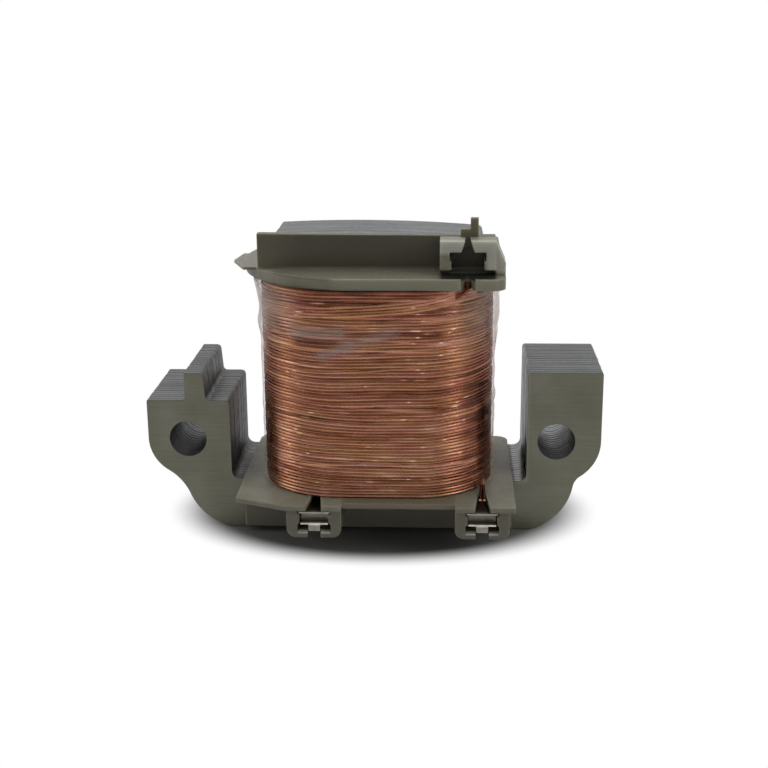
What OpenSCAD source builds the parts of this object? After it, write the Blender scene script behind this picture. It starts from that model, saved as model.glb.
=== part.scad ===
// Open magnet coil on a laminated core, in millimetres.
// A U shaped yoke with two bolt ears carries a T shaped pole. The pole runs up through a moulded
// bobbin, which holds the copper winding, a wrap of clear tape and the push-in wire terminals.
// The origin is the centre of the yoke's bottom face. +X runs along the ears, +Y away from the
// terminals and +Z up the pole.

/* [Core stack] */
// Thickness of one lamination
sheet_t = 1.0; // [0.7:0.05:1.3]
// Number of laminations in the stack
sheet_count = 17; // [11:1:25]

/* [Yoke] */
// Distance between the two mounting holes
hole_pitch = 55; // [52:0.5:62]
// Offset of the middle of the two holes from the pole's axis
hole_shift = -1.05; // [-2:0.05:2]
// Diameter of a mounting hole
hole_d = 5.5; // [4.3:0.1:6.6]
// Height of the mounting holes above the base
hole_z = 14; // [12:0.5:16]
// Height of the yoke bar under the coil
yoke_h = 7.7; // [6.5:0.1:9.5]
// Clear width between the two ears
slot_w = 44.2; // [43:0.2:46]
// Fillet in the two inner corners of the yoke
slot_fillet_r = 1.2; // [0.5:0.1:2]
// Length of the flat bottom of the yoke
base_flat_w = 45.6; // [40:0.1:48]
// Radius of the yoke's bottom corners
base_corner_r = 8.7; // [7:0.1:10]
// How far the bottom corners' circles would reach below the flat that cuts them
base_dip = 0.3; // [0.1:0.05:0.6]
// Height of the top of the left ear
left_ear_top = 20; // [18:0.1:24]
// Radius of the left ear round its hole
left_ear_r = 6; // [5:0.1:7]
// Radius of the hollow blend below the left ear
left_blend_r = 8; // [4:0.5:12]
// Height of the top of the right ear
right_ear_top = 24.6; // [20:0.1:28]
// Radius of the right ear round its hole
right_ear_r = 6.6; // [5.5:0.1:7.5]
// Radius of the hollow blend below the right ear
right_blend_r = 2.5; // [1.5:0.5:6]
// Width of the locating key on the left ear
key_w = 2.8; // [2:0.1:4]
// Height of the locating key above the left ear
key_h = 4.2; // [2:0.1:6]
// Distance of the key from the left hole, towards the coil
key_offset = 1.2; // [-1:0.05:2]
// Widening of the key's inner side, from its top down to its foot
key_draft = 0.3; // [0:0.05:0.6]
// Fillet at the foot of the key
key_fillet_r = 0.6; // [0.2:0.1:1]

/* [Pole] */
// Width of the pole's leg inside the coil
leg_w = 14.6; // [12:0.2:17]
// Width of the pole shoe on top
shoe_w = 31; // [26:0.2:33]
// Height of the pole shoe at its highest line
shoe_h = 3.95; // [3:0.05:6]
// Radius of the crowned pole face
crown_r = 230; // [60:1:300]
// Offset of the crown's highest line from the pole's axis
crown_shift = -3.7; // [-5:0.1:5]
// Width of the dovetail at the yoke's upper face
dovetail_neck_w = 9; // [7:0.5:11]
// Widening of the dovetail on each side, down to its foot
dovetail_flare = 0.8; // [0.4:0.1:1.2]
// Depth of the dovetail in the yoke
dovetail_depth = 4.6; // [3:0.1:5.5]
// Gap round the dovetail
dovetail_gap = 0.04; // [0.02:0.01:0.1]

/* [Bobbin] */
// Gap between the bobbin and the core
core_gap = 0.2; // [0.1:0.05:0.4]
// Wall of the tube round the leg
tube_wall = 1.2; // [0.8:0.1:1.6]
// Outer corner radius of the tube
tube_corner_r = 1.2; // [0.5:0.1:2]
// Thickness of the lower flange
low_flange_t = 0.8; // [0.6:0.1:1.4]
// Thickness of the upper flange
up_flange_t = 1.6; // [1:0.1:2.4]
// Gap between the lower flange and each ear
ear_gap = 2.1; // [1.5:0.1:3]
// Reach of the lower flange beyond the winding at the back
low_rim = 0.25; // [0.1:0.05:1]
// Radius of the lower flange's back corners, beside the winding
low_wing_r = 2; // [0.5:0.1:3]
// Reach of the lower flange beyond the stack in front
low_front_reach = 11.6; // [10:0.1:12.5]
// Reach of the lower flange over the terminal pockets
low_lip_reach = 12.8; // [12:0.1:15]
// Slant of the lower flange's left front corner
low_corner_cut = 3; // [1:0.1:4]
// Reach of the upper flange beyond the stack, front and back
up_reach = 8.8; // [8:0.1:10.5]
// Reach of the upper flange to the left of the pole's axis
up_left_reach = 19.9; // [18.5:0.1:20.5]
// Reach of the upper flange to the right of the pole's axis
up_right_reach = 18.25; // [18:0.05:21]
// Radius of the upper flange's right corners
up_corner_r = 2; // [0.5:0.1:3]
// Reach of the gate stub's tip beyond the upper flange's round nose
gate_reach = 1.4; // [0.8:0.1:2]
// Width of the gate stub
gate_w = 10.5; // [6:0.1:12]
// Thickness of the gate stub
gate_t = 0.4; // [0.2:0.05:1]
// Place of the gate stub's tip, from the pole's axis
gate_y = -3.7; // [-5:0.1:3]
// Slant of the gate stub, from its middle to each shoulder
gate_slant = 0.7; // [0:0.1:0.7]
// Thickness of the wall in front of the pole shoe, and of the skirts beside the yoke
guard_t = 1.6; // [1:0.1:2.2]
// Height of the wall in front of the pole shoe
guard_h = 4.8; // [3.5:0.1:7]
// Rise of that wall's top towards its left end
guard_rise = 0.25; // [0:0.05:0.6]
// Reach of that wall to either side of the pole's axis
guard_reach = 16.9; // [15:0.1:17.5]
// Height of the skirts above the base
skirt_lift = 0.8; // [0.4:0.1:2]

/* [Terminal pockets] */
// Outer width of a pocket
pocket_w = 7.75; // [7:0.05:8.6]
// Height of a lower pocket below its flange
pocket_h = 4.1; // [3.8:0.1:5]
// Set-back of a lower pocket's mouth behind the flange's lip
pocket_setback = 0.3; // [0:0.1:1]
// Place of the left pocket's middle
left_pocket_x = -8.55; // [-10:0.05:-7]
// Place of the right pocket's middle
right_pocket_x = 15.35; // [14:0.05:15.6]
// Place of the upper pocket's middle
up_pocket_x = 13; // [11:0.05:14]
// Depth of the upper pocket in front of the wall
up_pocket_depth = 4.7; // [3.5:0.1:6]
// Clear width of a lower pocket
cavity_w = 4.8; // [4:0.1:5.6]
// Width of the rib on each side wall of a lower pocket
rib_w = 0.3; // [0.15:0.05:0.5]
// Height of a lower pocket's shoulders below its roof
shoulder_h = 0.65; // [0.5:0.05:1]
// Height of a lower pocket's waist below its roof
waist_h = 1.9; // [1.5:0.1:2.4]
// Thickness of a lower pocket's floor
floor_t = 0.8; // [0.6:0.1:1.4]
// Radius of a lower pocket's outer corners
pocket_r = 1.3; // [0.5:0.1:2]
// Width of the slot in a lower pocket's floor
floor_slot_w = 1.9; // [1:0.1:3]
// Width of a wire slot at its mouth
wire_slot_w = 2.2; // [1:0.1:3]
// Clear width of the upper pocket
up_cavity_w = 5.1; // [4:0.1:5.6]
// Width of the rib on each side wall of the upper pocket
up_rib_w = 0.25; // [0.15:0.05:0.5]
// Height of those ribs' upper edge below the pocket's roof
up_rib_drop = 1.25; // [0.8:0.05:1.6]
// Thickness of the upper pocket's roof
roof_t = 1.45; // [0.8:0.05:2]
// Height of the undercut below the upper pocket's side walls
undercut_h = 0.9; // [0.3:0.1:1.4]
// Depth of that undercut behind the pocket's mouth
undercut_depth = 2; // [0.5:0.1:2.5]
// Set-back of the sloping rib behind the upper pocket's mouth
slope_setback = 0.8; // [0.4:0.1:2]
// Height of the sloping rib's toe at the flange's edge
slope_toe_h = 1.7; // [0.5:0.1:2]
// Height of the wire hitch above the upper pocket
hitch_h = 2.6; // [1.5:0.1:4]
// Thickness of the wire hitch
hitch_t = 1.1; // [0.8:0.1:1.6]
// Length of the wire hitch's foot
hitch_foot = 2.5; // [1.8:0.1:3]
// Height of the wire hitch's foot
hitch_foot_h = 1.05; // [0.5:0.05:1.5]
// Distance of the hitch's upright from the upper pocket's middle
hitch_offset = 1.5; // [0.5:0.1:2.5]

/* [Winding] */
// Height of the winding between the flanges
winding_h = 30.2; // [24:0.2:36]
// Thickness of the winding on the tube
winding_build = 8.4; // [6:0.1:9.5]
// Radius of the winding's outer corners
winding_corner_r = 11.5; // [8:0.5:14]
// Number of bands of turns that stand out on the winding
band_count = 10; // [6:1:16]
// Height of the groove between two bands
groove_w = 0.6; // [0.3:0.1:1]
// Depth of those grooves
groove_depth = 0.4; // [0.2:0.05:0.8]
// Diameter of the winding wire
wire_d = 0.45; // [0.2:0.05:0.6]
// Thickness of the tape wrap
tape_t = 0.12; // [0.05:0.01:0.3]
// Gap left between the winding and the pieces round it
wrap_gap = 0.05; // [0.02:0.01:0.1]

/* [Terminals] */
// Thickness of the terminal's sheet
terminal_t = 0.3; // [0.2:0.05:0.4]
// Length of the wire slit in the back of a terminal
slit_l = 1.4; // [0.8:0.1:2]
// Width of the slit beyond the wire's diameter
slit_gap = 0.1; // [0.05:0.01:0.2]
// Gap beside a terminal in its pocket
terminal_gap = 0.12; // [0.05:0.01:0.2]
// Width of a terminal's solder tab
tab_w = 1.7; // [1:0.1:2.6]
// Set-back of a terminal's mouth behind its pocket's mouth
terminal_setback = 0.4; // [0.1:0.1:1]
// Set-back of the cross wall inside a terminal
web_setback = 1.2; // [0.6:0.1:2]

/* [Finish lead] */
// Height of the finish lead's bend above the lower flange
lead_rise = 1; // [0.6:0.1:2]
// Set-back of the two cut ends behind the flange's front edge
lead_setback = 1.5; // [0.5:0.1:3]
// Distance between the two cut ends
lead_spread = 0.55; // [0.5:0.05:0.9]

/* [Hidden] */
// A length that reaches past everything it cuts, and a short run past one face
past = 200;
over = 1;
// How far the ear's blend circle cuts into the two discs beside it, so that it crosses them cleanly
blend_bite = 0.01;
// How far the wall in front of the pole shoe is sunk into the upper flange
wall_bite = 0.1;
$fn = 96;

steel = "#7a7c7a";
nylon = "#8a8879";
copper = "#a8623c";
film = "#d8cfc8";
tin = "#c9c8c4";

// Stack and heights, from the base upwards
stack_t = sheet_t * sheet_count;
stack_front = -stack_t / 2;
// Centre of the circle at each bottom corner of the yoke
corner_z = base_corner_r - base_dip;
corner_x = base_flat_w / 2 - sqrt(base_corner_r * base_corner_r - corner_z * corner_z);
winding_z = yoke_h + low_flange_t;
up_flange_z = winding_z + winding_h;
shoe_z = up_flange_z + up_flange_t;
left_hole_x = hole_shift - hole_pitch / 2;
right_hole_x = hole_shift + hole_pitch / 2;

// Tube, winding and tape, as full widths and depths
leg_hole = [leg_w + 2 * core_gap, stack_t + 2 * core_gap];
tube = leg_hole + [2, 2] * tube_wall;
winding_inner = tube + [2, 2] * wrap_gap;
winding_outer = winding_inner + [2, 2] * winding_build;
band_pitch = (winding_h + groove_w) / band_count;
tape_inner = winding_outer + [2, 2] * wrap_gap;
tape_outer = tape_inner + [2, 2] * tape_t;

// Bobbin faces
skirt_front = stack_front - core_gap;
guard_front = skirt_front - guard_t;
low_side = slot_w / 2 - ear_gap;
low_wing_x = low_side - low_wing_r;
low_front = stack_front - low_front_reach;
low_lip = stack_front - low_lip_reach;
pocket_front = low_lip + pocket_setback;
pocket_floor_z = yoke_h - pocket_h;
up_half_d = stack_t / 2 + up_reach;
up_pocket_front = guard_front - up_pocket_depth;
up_pocket_z = shoe_z + guard_h;

// What stands on the upper flange is rooted half way down it
root_z = shoe_z - up_flange_t / 2;

// Both leads drop through the lower flange just in front of the tape beside the right pocket
tape_r = winding_corner_r + wrap_gap + tape_t;
tape_round = tape_outer / 2 - [tape_r, tape_r];
lead_r = wire_d / 2;
lead_dx = max(0, right_pocket_x - tape_round[0]);
lead_y = -tape_round[1] - sqrt(max(0, tape_r * tape_r - lead_dx * lead_dx)) - lead_r - wrap_gap;
slit_w = wire_d + slit_gap;
bend_swell = 1.1;

// Terminal: its upper plate rests on the shoulders of the pocket's ribs, and its slit meets the lead
upper_plate_z = yoke_h - shoulder_h;
lower_plate_z = yoke_h - waist_h - terminal_t - terminal_gap;
terminal_front = pocket_front + terminal_setback;
tab_z = pocket_floor_z + floor_t;
terminal_depth = lead_y + slit_l - terminal_front;

function sheet_name(kind, i) = str(kind, "_lamination_", i < 10 ? "0" : "", i);

// Centre of the disc of radius r that touches two crossing discs from outside, on the given side
function blend_centre(c1, r1, c2, r2, r, side) =
    let (
        gap = c2 - c1,
        d = norm(gap),
        along = ((r1 + r) * (r1 + r) - (r2 + r) * (r2 + r) + d * d) / (2 * d),
        across = sqrt((r1 + r) * (r1 + r) - along * along),
        u = gap / d
    )
    c1 + along * u + side * across * [-u[1], u[0]];

// Points of the right ear's outline, or the same run the other way round for the left ear
function turned(points, side) = side > 0 ? points : [for (i = [1:len(points)]) points[len(points) - i]];

// Stands a flat outline up in the XZ plane, from y0 backwards over a depth
module upright(y0, depth) {
    translate([0, y0 + depth, 0])
        rotate([90, 0, 0])
            linear_extrude(depth)
                children();
}

// Rectangle between two opposite corners
module span(low, high) {
    translate(low)
        square(high - low);
}

// Rectangle with four rounded corners, centred on the origin
module rounded(size, r) {
    square([size[0] - 2 * r, size[1]], center = true);
    square([size[0], size[1] - 2 * r], center = true);
    for (x = [-1, 1], y = [-1, 1])
        translate([x * (size[0] / 2 - r), y * (size[1] / 2 - r)])
            circle(r);
}

// One ear of the yoke: a round lug about its hole, blended into the bar's bottom corner
module ear(side, hole_x, ear_r, ear_top, blend_r) {
    lug = [hole_x, hole_z];
    corner = [side * corner_x, corner_z];
    inner_x = side * slot_w / 2;
    outer_x = hole_x + side * ear_r;
    blend = blend_centre(lug, ear_r, corner, base_corner_r, blend_r, side);
    translate(lug)
        circle(ear_r);
    translate(corner)
        circle(base_corner_r);
    span([min(inner_x, outer_x), hole_z], [max(inner_x, outer_x), ear_top]);
    polygon(turned([lug, [inner_x, hole_z], corner], side));
    difference() {
        polygon(turned([lug, corner, blend], side));
        translate(blend)
            circle(blend_r + blend_bite);
    }
}

// The key that stands on the left ear, with a sloping inner side and a small fillet on both sides of its foot
module key() {
    key_x = left_hole_x + key_offset;
    outer_x = key_x - key_w / 2;
    inner_x = key_x + key_w / 2;
    foot_x = inner_x + key_draft;
    foot_z = left_ear_top + key_fillet_r;
    key_z = left_ear_top + key_h;
    fillets = [outer_x - key_fillet_r, foot_x + key_fillet_r];
    polygon([
        [outer_x, left_ear_top - over], [foot_x, left_ear_top - over],
        [foot_x, foot_z], [inner_x, key_z], [outer_x, key_z]
    ]);
    difference() {
        span([fillets[0], left_ear_top - over], [fillets[1], foot_z]);
        for (x = fillets)
            translate([x, foot_z])
                circle(key_fillet_r);
    }
}

// Tongue under the pole and, widened by a gap, its notch in the yoke
module dovetail(gap) {
    neck = dovetail_neck_w / 2 + gap;
    foot = neck + dovetail_flare;
    foot_z = yoke_h - dovetail_depth - gap;
    polygon([[-neck, yoke_h], [-foot, foot_z], [foot, foot_z], [neck, yoke_h]]);
}

// The space between the ears, with rounded lower corners
module yoke_slot() {
    half = slot_w / 2;
    span([-half, yoke_h + slot_fillet_r], [half, past]);
    span([slot_fillet_r - half, yoke_h], [half - slot_fillet_r, past]);
    for (side = [-1, 1])
        translate([side * (half - slot_fillet_r), yoke_h + slot_fillet_r])
            circle(slot_fillet_r);
}

module yoke_outline() {
    difference() {
        union() {
            span([-corner_x, -over], [corner_x, yoke_h + slot_fillet_r]);
            ear(-1, left_hole_x, left_ear_r, left_ear_top, left_blend_r);
            ear(1, right_hole_x, right_ear_r, right_ear_top, right_blend_r);
            key();
        }
        span([-past, -past], [past, 0]);
        yoke_slot();
        dovetail(dovetail_gap);
        for (x = [left_hole_x, right_hole_x])
            translate([x, hole_z])
                circle(d = hole_d);
    }
}

// The shoe's face is an arc of crown_r between two straight sides
module shoe_outline() {
    intersection() {
        span([-shoe_w / 2, shoe_z], [shoe_w / 2, past]);
        translate([crown_shift, shoe_z + shoe_h - crown_r])
            circle(crown_r, $fn = 720);
    }
}

module pole_outline() {
    shoe_outline();
    span([-leg_w / 2, yoke_h], [leg_w / 2, shoe_z + over]);
    dovetail(0);
}

module yoke_lamination(i) {
    color(steel)
        upright(stack_front + (i - 1) * sheet_t, sheet_t)
            yoke_outline();
}

module pole_lamination(i) {
    color(steel)
        upright(stack_front + (i - 1) * sheet_t, sheet_t)
            pole_outline();
}

// Plan of the lower flange: two wings as deep as the skirts, and a round rim under the winding's back
module low_flange_plan() {
    wing_back = -guard_front;
    corner_y = wing_back - low_wing_r;
    span([-low_side, low_front], [low_side, corner_y]);
    span([-low_wing_x, low_front], [low_wing_x, wing_back]);
    for (side = [-1, 1])
        translate([side * low_wing_x, corner_y])
            circle(low_wing_r);
    rounded(winding_outer + [2, 2] * low_rim, winding_corner_r + low_rim);
}

// The same plan with a slanted corner and two pocket lips in front
module low_flange_lips() {
    left = left_pocket_x - pocket_w / 2;
    difference() {
        union() {
            low_flange_plan();
            span([-low_side, low_lip], [left_pocket_x + pocket_w / 2, low_front + over]);
            span([right_pocket_x - pocket_w / 2, low_lip], [low_side, low_front + over]);
        }
        polygon([[-low_side, low_lip + low_corner_cut], [left, low_lip], [-past, low_lip]]);
    }
}

// Plan of the upper flange: a round nose on the left and a square end on the right
module up_flange_plan() {
    nose_x = up_half_d - up_left_reach;
    corner_y = up_half_d - up_corner_r;
    translate([nose_x, 0])
        circle(up_half_d);
    span([nose_x, -up_half_d], [up_right_reach - up_corner_r, up_half_d]);
    span([nose_x, -corner_y], [up_right_reach, corner_y]);
    for (y = [-corner_y, corner_y])
        translate([up_right_reach - up_corner_r, y])
            circle(up_corner_r);
}

// Plan of the stub left by the moulding gate: a pointed tip and two shoulders, rooted in the nose
module gate_stub_plan() {
    nose = -up_left_reach;
    root = nose + gate_w / 2;
    front = gate_y - gate_w / 2;
    back = gate_y + gate_w / 2;
    polygon([
        [nose - gate_reach, gate_y], [nose + gate_slant, front], [root, front],
        [root, back], [nose - gate_slant, back]
    ]);
}

// The wall in front of the pole shoe; its top rises a little towards the left
module guard_outline() {
    polygon([
        [-guard_reach, shoe_z - wall_bite], [guard_reach, shoe_z - wall_bite],
        [guard_reach, up_pocket_z], [-guard_reach, up_pocket_z + guard_rise]
    ]);
}

// Cross-section of a lower pocket's cavity below a roof at z = 0: shoulders, a waist and a wide foot
module cavity_section() {
    half = cavity_w / 2;
    waist = half - rib_w;
    foot_h = waist_h + rib_w;
    depth = pocket_h - floor_t;
    polygon([
        [-half, 0], [-half, -shoulder_h], [-waist, -shoulder_h], [-waist, -waist_h],
        [-half, -foot_h], [-half, -depth], [half, -depth], [half, -foot_h],
        [waist, -waist_h], [waist, -shoulder_h], [half, -shoulder_h], [half, 0]
    ]);
}

// Cross-section of a lower pocket's outside below its roof, with two rounded lower corners
module pocket_section() {
    half = pocket_w / 2;
    span([-half, pocket_r - pocket_h], [half, 0]);
    span([pocket_r - half, -pocket_h], [half - pocket_r, 0]);
    for (side = [-1, 1])
        translate([side * (half - pocket_r), pocket_r - pocket_h])
            circle(pocket_r);
}

// Plan of a V shaped wire slot, from a mouth at front to its apex at back
module wire_slot(x, front, back) {
    mouth = wire_slot_w / 2;
    apex = slit_w / 2;
    polygon([
        [x - mouth, front - over], [x - mouth, front], [x - apex, back],
        [x + apex, back], [x + mouth, front], [x + mouth, front - over]
    ]);
}

module low_pocket_outside(x) {
    translate([x, 0, yoke_h])
        upright(pocket_front, skirt_front - pocket_front)
            pocket_section();
}

module low_pocket_inside(x) {
    translate([x, 0, yoke_h])
        upright(pocket_front - over, guard_front - pocket_front + over)
            cavity_section();
    translate([0, 0, pocket_floor_z - over])
        linear_extrude(floor_t + 2 * over)
            span([x - floor_slot_w / 2, pocket_front - over], [x + floor_slot_w / 2, guard_front]);
    translate([0, 0, yoke_h - over / 2])
        linear_extrude(low_flange_t + over)
            wire_slot(x, low_lip, lead_y + lead_r);
}

// An L shaped hitch for the wire, on the roof of the upper pocket
module wire_hitch() {
    right = up_pocket_x + hitch_offset;
    upright(guard_front - hitch_t / 2, hitch_t)
        union() {
            span([right - hitch_foot, root_z], [right, up_pocket_z + hitch_foot_h]);
            span([right - hitch_t, root_z], [right, up_pocket_z + hitch_h]);
        }
}

// Upper pocket, with a rib on its right side that slopes down to the flange's edge
module up_pocket_outside() {
    left = up_pocket_x - pocket_w / 2;
    right = up_pocket_x + pocket_w / 2;
    depth = guard_front - up_pocket_front + guard_t / 2;
    upright(up_pocket_front, depth)
        span([left, root_z], [right, up_pocket_z]);
    upright(up_pocket_front + slope_setback, depth - slope_setback)
        polygon([
            [right - over, root_z], [up_right_reach, root_z], [up_right_reach, shoe_z + slope_toe_h],
            [right, up_pocket_z], [right - over, up_pocket_z]
        ]);
    wire_hitch();
}

// Its cavity opens forwards, its side walls stop short of the flange, and its roof has a wire notch
module up_pocket_inside() {
    roof_z = up_pocket_z - roof_t;
    half = up_cavity_w / 2;
    waist = half - up_rib_w;
    mouth = up_pocket_front - over;
    upright(mouth, up_pocket_depth + over)
        union() {
            span([up_pocket_x - waist, shoe_z], [up_pocket_x + waist, roof_z]);
            span([up_pocket_x - half, shoe_z], [up_pocket_x + half, shoe_z + undercut_h]);
            span([up_pocket_x - half, roof_z - up_rib_drop], [up_pocket_x + half, roof_z]);
        }
    upright(mouth, undercut_depth + over)
        span([up_pocket_x - pocket_w, shoe_z], [up_pocket_x + pocket_w / 2, shoe_z + undercut_h]);
    roof_notch(roof_z);
    translate([0, 0, up_flange_z - over / 2])
        linear_extrude(up_flange_t + over)
            wire_slot(up_pocket_x, -up_half_d, up_pocket_front);
}

// The notch in the roof narrows towards the back and, seen from in front, towards the top
module roof_notch(roof_z) {
    foot = wire_slot_w / 2;
    top = slit_w / 2;
    intersection() {
        translate([0, 0, roof_z - over / 2])
            linear_extrude(roof_t + over)
                wire_slot(up_pocket_x, up_pocket_front, guard_front - hitch_t / 2);
        upright(up_pocket_front - over, up_pocket_depth + over)
            polygon([
                [up_pocket_x - foot, roof_z - over / 2], [up_pocket_x - top, up_pocket_z + over / 2],
                [up_pocket_x + top, up_pocket_z + over / 2], [up_pocket_x + foot, roof_z - over / 2]
            ]);
    }
}

// Skirt beside the yoke, hanging from the lower flange
module skirt(y, reach) {
    upright(y, guard_t)
        span([-reach, skirt_lift], [reach, winding_z]);
}

module bobbin() {
    color(nylon)
        difference() {
            union() {
                translate([0, 0, yoke_h])
                    linear_extrude(shoe_z - yoke_h)
                        rounded(tube, tube_corner_r);
                translate([0, 0, yoke_h])
                    linear_extrude(low_flange_t)
                        low_flange_lips();
                translate([0, 0, up_flange_z])
                    linear_extrude(up_flange_t)
                        up_flange_plan();
                skirt(guard_front, low_side);
                skirt(-skirt_front, low_wing_x);
                translate([0, 0, shoe_z - gate_t])
                    linear_extrude(gate_t)
                        gate_stub_plan();
                upright(guard_front, guard_t)
                    guard_outline();
                low_pocket_outside(left_pocket_x);
                low_pocket_outside(right_pocket_x);
                up_pocket_outside();
            }
            linear_extrude(past)
                square(leg_hole, center = true);
            low_pocket_inside(left_pocket_x);
            low_pocket_inside(right_pocket_x);
            up_pocket_inside();
        }
}

// Bands of turns with a shallow groove between each two, on the bobbin's tube
module winding() {
    color(copper)
        translate([0, 0, winding_z])
            difference() {
                union() {
                    linear_extrude(winding_h)
                        rounded(winding_outer - [2, 2] * groove_depth, winding_corner_r - groove_depth);
                    for (i = [0:band_count - 1])
                        translate([0, 0, i * band_pitch])
                            linear_extrude(band_pitch - groove_w)
                                rounded(winding_outer, winding_corner_r);
                }
                translate([0, 0, -over])
                    linear_extrude(winding_h + 2 * over)
                        rounded(winding_inner, tube_corner_r);
            }
}

module tape_wrap() {
    color(film)
        translate([0, 0, winding_z])
            linear_extrude(winding_h)
                difference() {
                    rounded(tape_outer, tape_r);
                    rounded(tape_inner, winding_corner_r + wrap_gap);
                }
}

// Folded terminal: two plates joined by a cross wall, both slit from behind for the wire
module terminal(x) {
    upper_w = cavity_w - 2 * terminal_gap;
    lower_w = cavity_w - 2 * rib_w - 2 * terminal_gap;
    web_y = terminal_front + web_setback;
    color(tin)
        difference() {
            union() {
                translate([x - upper_w / 2, terminal_front, upper_plate_z])
                    cube([upper_w, terminal_depth, terminal_t]);
                translate([x - lower_w / 2, terminal_front, lower_plate_z])
                    cube([lower_w, terminal_depth, terminal_t]);
                translate([x - lower_w / 2, web_y, lower_plate_z])
                    cube([lower_w, terminal_t, upper_plate_z - lower_plate_z + terminal_t]);
                translate([x - tab_w / 2, terminal_front, tab_z])
                    cube([tab_w, terminal_t, lower_plate_z - tab_z + terminal_t]);
            }
            translate([x - slit_w / 2, lead_y, 0])
                cube([slit_w, past, yoke_h]);
        }
}

module left_terminal() {
    terminal(left_pocket_x);
}

module right_terminal() {
    terminal(right_pocket_x);
}

// A straight length of winding wire
module wire(from, to) {
    way = to - from;
    translate(from)
        rotate([0, acos(way[2] / norm(way)), atan2(way[1], way[0])])
            cylinder(norm(way), r = lead_r);
}

// The start of the winding drops straight through its slot into the left terminal
module start_lead() {
    top = [left_pocket_x, lead_y, winding_z - wrap_gap];
    color(copper)
        wire(top, [top[0], lead_y, pocket_floor_z]);
}

// The finish is doubled over its slot: one strand drops into the terminal, two cut ends lie forward
module finish_lead() {
    top = [right_pocket_x, lead_y, winding_z + lead_rise];
    color(copper)
        union() {
            wire(top, [top[0], lead_y, pocket_floor_z]);
            for (side = [-1, 1])
                wire(top, [top[0] + side * lead_spread / 2, low_front + lead_setback, winding_z]);
            translate(top)
                sphere(lead_r * bend_swell);
        }
}

for (i = [1:sheet_count])
    yoke_lamination(i);
for (i = [1:sheet_count])
    pole_lamination(i);
bobbin();
winding();
tape_wrap();
left_terminal();
right_terminal();
start_lead();
finish_lead();
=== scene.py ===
# %% [markdown]
# # An open coil on a laminated core
# The real object is a stack of stamped steel sheets that passes through a moulded nylon bobbin. Copper wire
# is wound on the bobbin, clear tape holds the wire, and two small tin-plated terminals sit in pockets at
# the front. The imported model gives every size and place, so this lesson only adds what the eye expects:
# broken edges, single turns of wire, film with creases, and a finish for each material.

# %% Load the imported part
import math

import bmesh
import bpy
import numpy as np
from mathutils import Matrix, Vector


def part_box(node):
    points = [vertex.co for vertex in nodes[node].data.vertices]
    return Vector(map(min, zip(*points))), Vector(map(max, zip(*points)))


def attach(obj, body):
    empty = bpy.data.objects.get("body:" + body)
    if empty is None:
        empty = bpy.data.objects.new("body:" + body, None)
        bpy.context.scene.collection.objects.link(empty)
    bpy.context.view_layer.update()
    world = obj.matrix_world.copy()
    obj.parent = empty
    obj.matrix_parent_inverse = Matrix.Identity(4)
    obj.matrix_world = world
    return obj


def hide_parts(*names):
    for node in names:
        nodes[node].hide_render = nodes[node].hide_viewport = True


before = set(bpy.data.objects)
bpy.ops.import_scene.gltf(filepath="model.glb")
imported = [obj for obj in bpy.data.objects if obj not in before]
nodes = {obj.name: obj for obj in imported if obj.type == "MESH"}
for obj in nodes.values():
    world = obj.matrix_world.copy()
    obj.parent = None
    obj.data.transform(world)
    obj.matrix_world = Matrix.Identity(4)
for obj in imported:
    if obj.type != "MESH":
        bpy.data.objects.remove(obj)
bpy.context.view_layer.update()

MM = 0.001

# %% [markdown]
# ## The camera
# The viewing point was worked out from the two bolt holes, the ears and the flanges, which all have known
# places. A camera's own axes are the columns of its matrix: right, up, and the way back from the object.
# Writing them down directly keeps the small roll of the photograph, which a track-to constraint would lose.

# %% Camera
CAMERA_AT = np.array([10.242, -193.464, 77.776]) * MM
YAW, PITCH, ROLL = np.radians([-2.873, 16.541, -0.417])
LENS, SENSOR = 61.53, 36
NEAREST, FARTHEST = 0.01, 20

ahead = np.array([math.sin(YAW) * math.cos(PITCH), math.cos(YAW) * math.cos(PITCH), -math.sin(PITCH)])
level = np.array([math.cos(YAW), -math.sin(YAW), 0])
upward = np.cross(level, ahead)
right = math.cos(ROLL) * level + math.sin(ROLL) * upward
top = math.cos(ROLL) * upward - math.sin(ROLL) * level

pose = np.eye(4)
pose[:3, :3] = np.column_stack([right, top, -ahead])
pose[:3, 3] = CAMERA_AT
camera = bpy.data.objects.new("camera", bpy.data.cameras.new("camera"))
bpy.context.scene.collection.objects.link(camera)
camera.matrix_world = Matrix(pose.tolist())
camera.data.sensor_width = SENSOR
camera.data.lens = LENS
camera.data.clip_start, camera.data.clip_end = NEAREST, FARTHEST
bpy.context.scene.camera = camera
print("camera at", np.round(CAMERA_AT / MM, 1), "mm, lens", LENS)

# %% [markdown]
# ## Small tools
# Every colour below is written as the hex value a designer would pick, and one function turns it to the
# linear light that shaders work in. A second function adds a node with its settings and its links, so each
# material reads as a short list. Smaller ones start a material, turn a real length into a pattern's scale,
# and mask a box of the object with soft edges. The last three put a grid of points into a mesh, give each
# point a number that a material can read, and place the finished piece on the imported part.


# %% Colours and nodes
def paint(code):
    """sRGB hex to linear: c / 12.92 near black, otherwise ((c + 0.055) / 1.055) to the power 2.4."""
    c = np.array([int(code[i:i + 2], 16) for i in (1, 3, 5)]) / 255
    return (*np.where(c <= 0.04045, c / 12.92, ((c + 0.055) / 1.055) ** 2.4), 1.0)


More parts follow.
